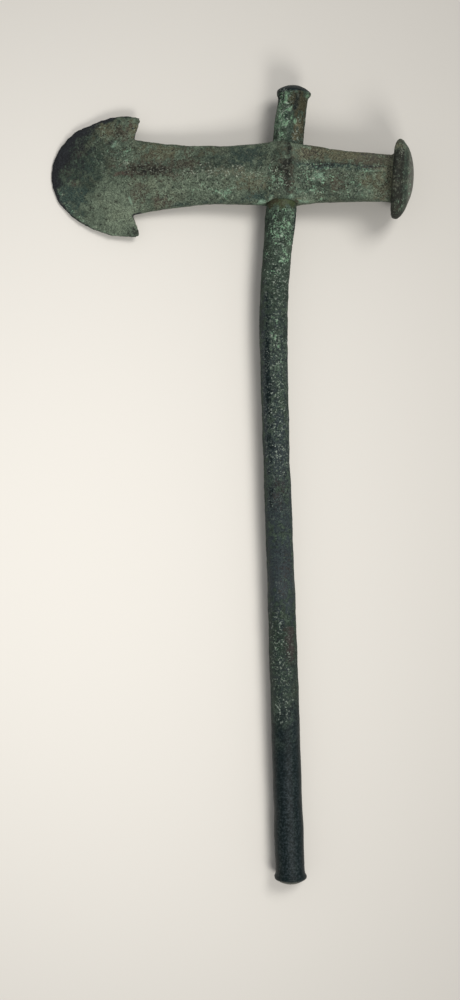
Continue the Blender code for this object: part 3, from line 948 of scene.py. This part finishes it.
@dataclass
class Handle(WornPiece):
    """The long round rod of the handle, with a crust that thins towards its foot.

    Places along it are measured in millimetres from the end above the head, and places round it in degrees
    from its top.
    """

    name: str = "weathered_handle"
    node: str = "handle"
    slot: str = "handle_copper"
    smoothings: int = 9
    wear: Wear = Wear(
        seed=31,
        dent_size=18 * MM,
        dent_depth=0.36 * MM,
        lump_size=4.5 * MM,
        lump_depth=0.18 * MM,
        pit_size=3.8 * MM,
        pit_depth=0.30 * MM,
        pit_share=0.45,
        bare_grit=0.3,
        crust_grit=1.0,
        smoothed=0.8,
    )
    finish: Patina = Patina(
        name="handle_patina",
        deep=seen_as(32, 44, 37),
        light=seen_as(86, 100, 86),
        crust=seen_as(122, 156, 126),
        sparkle=seen_as(164, 174, 160),
        gap=seen_as(18, 28, 22),
        tones={
            Layer.TEAL: seen_as(44, 52, 55),
            Layer.OLIVE: seen_as(60, 68, 45),
            Layer.BROWN: seen_as(56, 54, 39),
            Layer.RUST: seen_as(53, 48, 46),
            Layer.TAN: seen_as(128, 124, 100),
            Layer.PALE: seen_as(116, 146, 118),
            Layer.DARK: seen_as(6, 21, 22),
        },
        speck_size=1.5 * MM,
        fleck_size=0.8 * MM,
        gloss=0.16,
        smooth_roughness=0.40,
        drift=0.15,
        unrest=1.0,
        film=1.0,
        smooth_relief=1.1,
    )
    pulls: tuple[Pull, ...] = (
        Pull(0, 0, 10, 900, by_x=0.8),
        Pull(12, -90, 8, 60, by_x=0.7),
        Pull(7.5, 0, 2.5, 900, by_y=0.9),
        Pull(170, 0, 30, 900, by_x=0.45),
        Pull(305, -90, 75, 50, by_x=0.58),
        Pull(425, 90, 60, 50, by_x=0.12),
        Pull(458, -90, 14, 50, by_x=-0.4),
        Pull(474.5, 0, 3.5, 900, by_y=-1.4),
    )
    patch_seed: int = 21
    breaking_size: float = 3.4 * MM
    middling_size: float = 7 * MM
    broad_size: float = 24 * MM
    patches: ClassVar[Mapping[Layer, Rows]] = {
        Layer.LIGHT: (
            # (26, -72) is painted light on the stub's left side, which faces away from the lights.
            (20, -44, 22, 44, 0.6), (6.8, 66, 3.2, 24, 1), (26, -72, 10, 26, 0.85), (86, 20, 20, 60, 0.35),
            (84, 34, 10, 26, 0.8), (148, 12, 8, 18, 0.45),
        ),
        Layer.SHADE: (
            (7.6, -54, 3.4, 20, 0.9), (13, 26, 11, 36, 0.9), (71, 38, 4, 44, 0.8), (112, -30, 24, 70, 0.35),
            (117, 14, 14, 70, 0.6), (240, 0, 70, 200, 0.4), (308, 0, 24, 200, 0.62), (342, 0, 46, 200, 0.82),
            (376, 20, 22, 200, 0.6),
        ),
        Layer.TEAL: (
            (181, -46, 56, 26, 0.85), (222, 5, 36, 120, 0.7), (165, 0, 44, 200, 0.5),
            (355, 0, 34, 200, 0.45), (257, 0, 20, 200, 0.75), (291, 5, 30, 120, 0.9), (384, 46, 14, 34, 0.8),
        ),
        Layer.OLIVE: (
            (7.6, -52, 3, 18, 0.7), (70.8, 20, 3.4, 120, 1),
        ),
        Layer.BROWN: (
            (10, 16, 6, 32, 1), (14, 36, 8, 40, 1), (25, 46, 11, 30, 0.9), (71, -40, 3, 40, 0.75),
            (365, 45, 10, 28, 0.4),
        ),
        Layer.RUST: (
            (243, 8, 12, 44, 0.42), (292, 18, 18, 34, 0.4),
        ),
        Layer.TAN: ((27, 36, 8, 16, 0.35),),
        Layer.PALE: (
            (9.3, -30, 3.6, 8, 1, 20), (16.3, -12, 1.8, 13, 0.8), (20.5, 3, 2.2, 6, 0.9),
            (24.4, -20, 1.8, 12, 0.8), (22.9, 17, 1.5, 7, 0.7), (7.4, 58, 1.2, 12, 0.55),
            (6.4, -26, 1.6, 12, 0.6), (24, -46, 16, 32, 0.46), (27.5, -64, 7, 20, 0.42),
        ),
        Layer.DARK: (
            (8, -58, 3.2, 26, 0.7), (12, 14, 6, 14, 0.6), (18, -18, 5, 9, 0.55), (82, 80, 20, 20, 0.6),
            (181, -30, 52, 13, 0.85),
        ),
        Layer.CRUST: (
            (20, -46, 22, 42, 1), (6.6, 66, 2.6, 24, 1), (24, 84, 14, 14, 0.7), (88, 16, 24, 80, 0.95),
            (124, 20, 22, 60, 0.4), (102, 22, 11, 26, 0.9), (148, 12, 9, 20, 0.9), (165, 10, 16, 26, 0.7),
            (196, 5, 18, 30, 0.45), (341, -30, 28, 44, 0.5), (371.8, -11, 9, 34, 0.6),
        ),
        Layer.GRAINS: (
            (17, -38, 19, 34, 0.9), (26, 36, 9, 24, 0.8), (113, 8, 24, 60, 0.55), (190, 5, 50, 60, 0.6),
            (224, 6, 12, 50, 0.9), (344, -18, 30, 50, 0.52), (371.8, -11, 9, 34, 0.75),
        ),
    }
    slice_length: float = 2.0
    hidden: tuple[float, float] = (33.0, 69.5)
    socket_growth: float = 0.15 * MM
    fullness: float = 0.22 * MM
    rims_at: tuple[float, float] = (5.9, 476.0)
    rim_reach: float = 1.1
    rim_growth: float = 0.45 * MM
    slate_end: float = 324.4
    band: tuple[float, float] = (60.0, 73.6)
    crust_step: float = 0.14 * MM
    foot: tuple[float, float] = (340.0, 408.0)
    cap: tuple[float, float] = (5.6, 4.6)
    # Where the painted reflection on the foot's domed end starts and is full.
    dome: tuple[float, float] = (477.2, 478.6)
    # Where the rim's painted shadow lies on the foot's end.
    rim_shadow_line: float = 476.9

    def locate(self) -> None:
        """Works out where each point lies along the handle and how far round it."""
        points = self.skin.points
        _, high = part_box("handle")
        self.along = (high.y - points[:, 1]) / MM
        slices = (self.along / self.slice_length).astype(int)
        middles = np.array([self._middle(points[slices == i]) for i in range(slices.max() + 1)])
        stations = (np.arange(len(middles)) + 0.5) * self.slice_length
        x = points[:, 0] - np.interp(self.along, stations, middles[:, 0])
        z = points[:, 2] - np.interp(self.along, stations, middles[:, 1])
        self.across = np.degrees(np.arctan2(x, z))

    @staticmethod
    def _middle(ring: np.ndarray) -> np.ndarray:
        """Finds the middle of a slice of points, in x and z."""
        return (ring.min(axis=0) + ring.max(axis=0))[[0, 2]] / 2

    def strip(self, turn: float, reach: float) -> np.ndarray:
        """Marks a strip along the handle, 1 at a turn from its top and fading over a reach, in degrees."""
        return bell((self.across - turn) / reach)

    def cover(self) -> None:
        """Lays the patches, and what changes all along the handle."""
        foot = ramp(*self.foot, self.along + 16 * self.middling + 12 * self.broad)
        cap = ramp(*self.cap, self.along + 0.6 * self.breaking)
        start, end = self.band
        in_band = ramp(start, start + 4, self.along) * ramp(end + 0.5, end - 0.5, self.along)
        self.spread(1.0)
        self.shares[Layer.CRUST] *= (1 - foot) * (1 - 0.9 * in_band) * (1 - cap)

        # Dark foot and cap, with painted light and shade on the foot
        # The end's domed face that looks up gets a painted reflection in brown.
        dome = ramp(*self.dome, self.along) * ramp(0.05, 0.45, self.skin.normals[:, 2])
        # Less dark in two strips and on the end: a green tint at -42 degrees, a painted highlight at 24
        # degrees, and the painted reflection on the end.
        tint_and_highlight = 1 - 0.22 * np.maximum(self.strip(-42, 16), self.strip(24, 12)) - 0.55 * dome
        self.lay(Layer.DARK, np.maximum(0.90 * foot * tint_and_highlight, 0.95 * cap))
        # Painted reflection on the end's domed face, in brown.
        self.lay(Layer.BROWN, 0.70 * dome)
        # Painted shade down both sides of the foot.
        self.lay(Layer.SHADE, foot * np.maximum(0.85 * self.strip(60, 20), 0.60 * self.strip(-70, 20)))
        # Darker cap, and the rim's painted shadow in a thin line at the foot's end.
        self.lay(Layer.SHADE, np.maximum(0.7 * cap, 0.9 * bell((self.along - self.rim_shadow_line) / 0.8)))

        # Warm stretch below the slate-coloured one
        below_slate = ramp(self.slate_end - 0.5, self.slate_end + 0.5, self.along)
        below_slate *= ramp(354, 338, self.along)
        self.lay(Layer.BROWN, 0.35 * below_slate * self.strip(38, 34))
        self.lay(Layer.RUST, 0.85 * below_slate * self.strip(34, 30))

        # Underside
        below = (1 - self.skin.upper) * (1 - foot)
        self.lay(Layer.BROWN, 0.6 * below * ramp(0.05, 0.35, self.broad))
        self.lay(Layer.CRUST, 0.45 * below * ramp(0.0, 0.3, self.middling) * (1 - in_band))

        # Smooth and shaded stretches
        clean = bell((self.along - 300) / 14)
        beside = 0.5 * self.strip(-48, 18) * ramp(110, 130, self.along)
        self.lay(Layer.SMOOTH, np.maximum.reduce([0.9 * foot, 0.9 * in_band, 0.6 * clean, 0.6 * cap, beside]))
        self.lay(Layer.SHADE, 0.5 * ramp(-0.1, -0.35, self.broad))

    def relieve(self) -> None:
        """Sculpts hammer dents, lumps, crust and pits."""
        fine = self.fine_relief()
        end = self.band[1]
        step = self.crust_step * ramp(end - 0.5, end + 0.5, self.along)
        first, last = self.hidden
        inside = ramp(first - 1.5, first + 1.5, self.along) * ramp(last + 1.5, last - 1.5, self.along)
        rims = sum(bell((self.along - place) / self.rim_reach) for place in self.rims_at) * self.rim_growth
        growth = step + rims + self.fullness + inside * self.socket_growth
        self.skin.push(self.wear.dents(self.skin) + fine + growth)
        self.skin.keep("relief", fine / self.relief_unit)


@dataclass
class Lamp:
    """A square soft light that faces the middle of the floor.

    Its light is given as the share of the floor's light that it brings where it points.
    """

    name: str
    direction: tuple[float, float, float]
    share: float
    colour: Colour
    size: float = 0.58
    distance: float = 1.60

    def build(self) -> None:
        """Hangs the light."""
        way = Vector(self.direction).normalized()
        lamp = bpy.data.lights.new(self.name, "AREA")
        lamp.size = self.size
        lamp.energy = self.share * pi * pi * self.distance ** 2 / way.z
        lamp.color = self.colour
        turn = way.to_track_quat("Z", "Y").to_matrix().to_4x4()
        place = Matrix.Translation(way * self.distance)
        put_in_scene(self.name, lamp).matrix_world = place @ turn


@dataclass
class Studio:
    """The pale floor, soft lights, and the camera that looks straight down."""

    camera_at: tuple[float, float, float] = (-0.2 * MM, -8.3 * MM, 1.0)
    view_height: float = 0.611
    film_height: float = 24.0
    floor_size: float = 4.0
    # Painted light on the floor: its colour where it is brightest, and where it has dimmed.
    painted_floor_bright: Colour = (0.862, 0.826, 0.760)
    painted_floor_dim: Colour = (0.431, 0.413, 0.380)
    floor_roughness: float = 0.9
    floor_gloss: float = 0.2
    brightest_at: tuple[float, float] = (-160 * MM, -20 * MM)
    dimming: tuple[float, float] = (550 * MM, 650 * MM)
    surround: float = 0.40
    surround_colour: Colour = (0.97, 0.98, 1.0)
    lamps: tuple[Lamp, ...] = (
        Lamp("lower_right_light", (0.37, -0.74, 1.0), 0.37, (1.0, 0.985, 0.96)),
        Lamp("upper_right_light", (0.46, 0.45, 1.0), 0.41, (1.0, 0.99, 0.975)),
    )

    def build(self) -> None:
        """Sets up the floor, the lights and the camera."""
        self.lay_floor()
        for lamp in self.lamps:
            lamp.build()
        world = bpy.data.worlds.new("studio")
        world.use_nodes = True
        background = world.node_tree.nodes["Background"]
        background.inputs["Color"].default_value = (*self.surround_colour, 1.0)
        background.inputs["Strength"].default_value = self.surround
        bpy.context.scene.world = world
        self.set_camera()
        bpy.context.scene.view_settings.view_transform = "Standard"

    def lay_floor(self) -> None:
        """Lays a pale floor with a painted pool of light, brightest at its left."""
        shape = bmesh.new()
        bmesh.ops.create_grid(shape, x_segments=1, y_segments=1, size=self.floor_size / 2)
        mesh = bpy.data.meshes.new("floor")
        shape.to_mesh(mesh)
        shape.free()
        floor = put_in_scene("floor", mesh)
        graph = Graph("floor_paper")
        centring = {"Location": (*self.brightest_at, 0.0), "Scale": (*self.dimming, 1.0)}
        inputs = {"Vector": graph.place, **centring}
        place = graph.add("ShaderNodeMapping", {"vector_type": "TEXTURE"}, inputs)
        distance = graph.add("ShaderNodeVectorMath", {"operation": "LENGTH"}, {0: place}, "Value")
        graph.feed("Base Color", graph.mix(distance.ramp(0.0, 1.0), self.painted_floor_bright, self.painted_floor_dim))
        graph.feed("Roughness", self.floor_roughness)
        graph.feed("Specular IOR Level", self.floor_gloss)
        mesh.materials.append(graph.material)

    def set_camera(self) -> None:
        """Hangs the camera over the axe, looking straight down."""
        lens = bpy.data.cameras.new("camera")
        lens.sensor_fit = "VERTICAL"
        lens.sensor_height = self.film_height
        lens.lens = self.film_height * self.camera_at[2] / self.view_height
        camera = put_in_scene("camera", lens)
        camera.location = self.camera_at
        bpy.context.scene.camera = camera


def main() -> None:
    """Builds the axe's pieces and the studio, and reports each piece."""
    logging.basicConfig(level=logging.INFO, format="%(name)s: %(message)s")
    Studio().build()
    for maker in (AxeHead(), Handle()):
        piece = maker.build()
        LOG.info("%s has %d points", piece.name, len(piece.data.vertices))


if __name__ == "__main__":
    main()
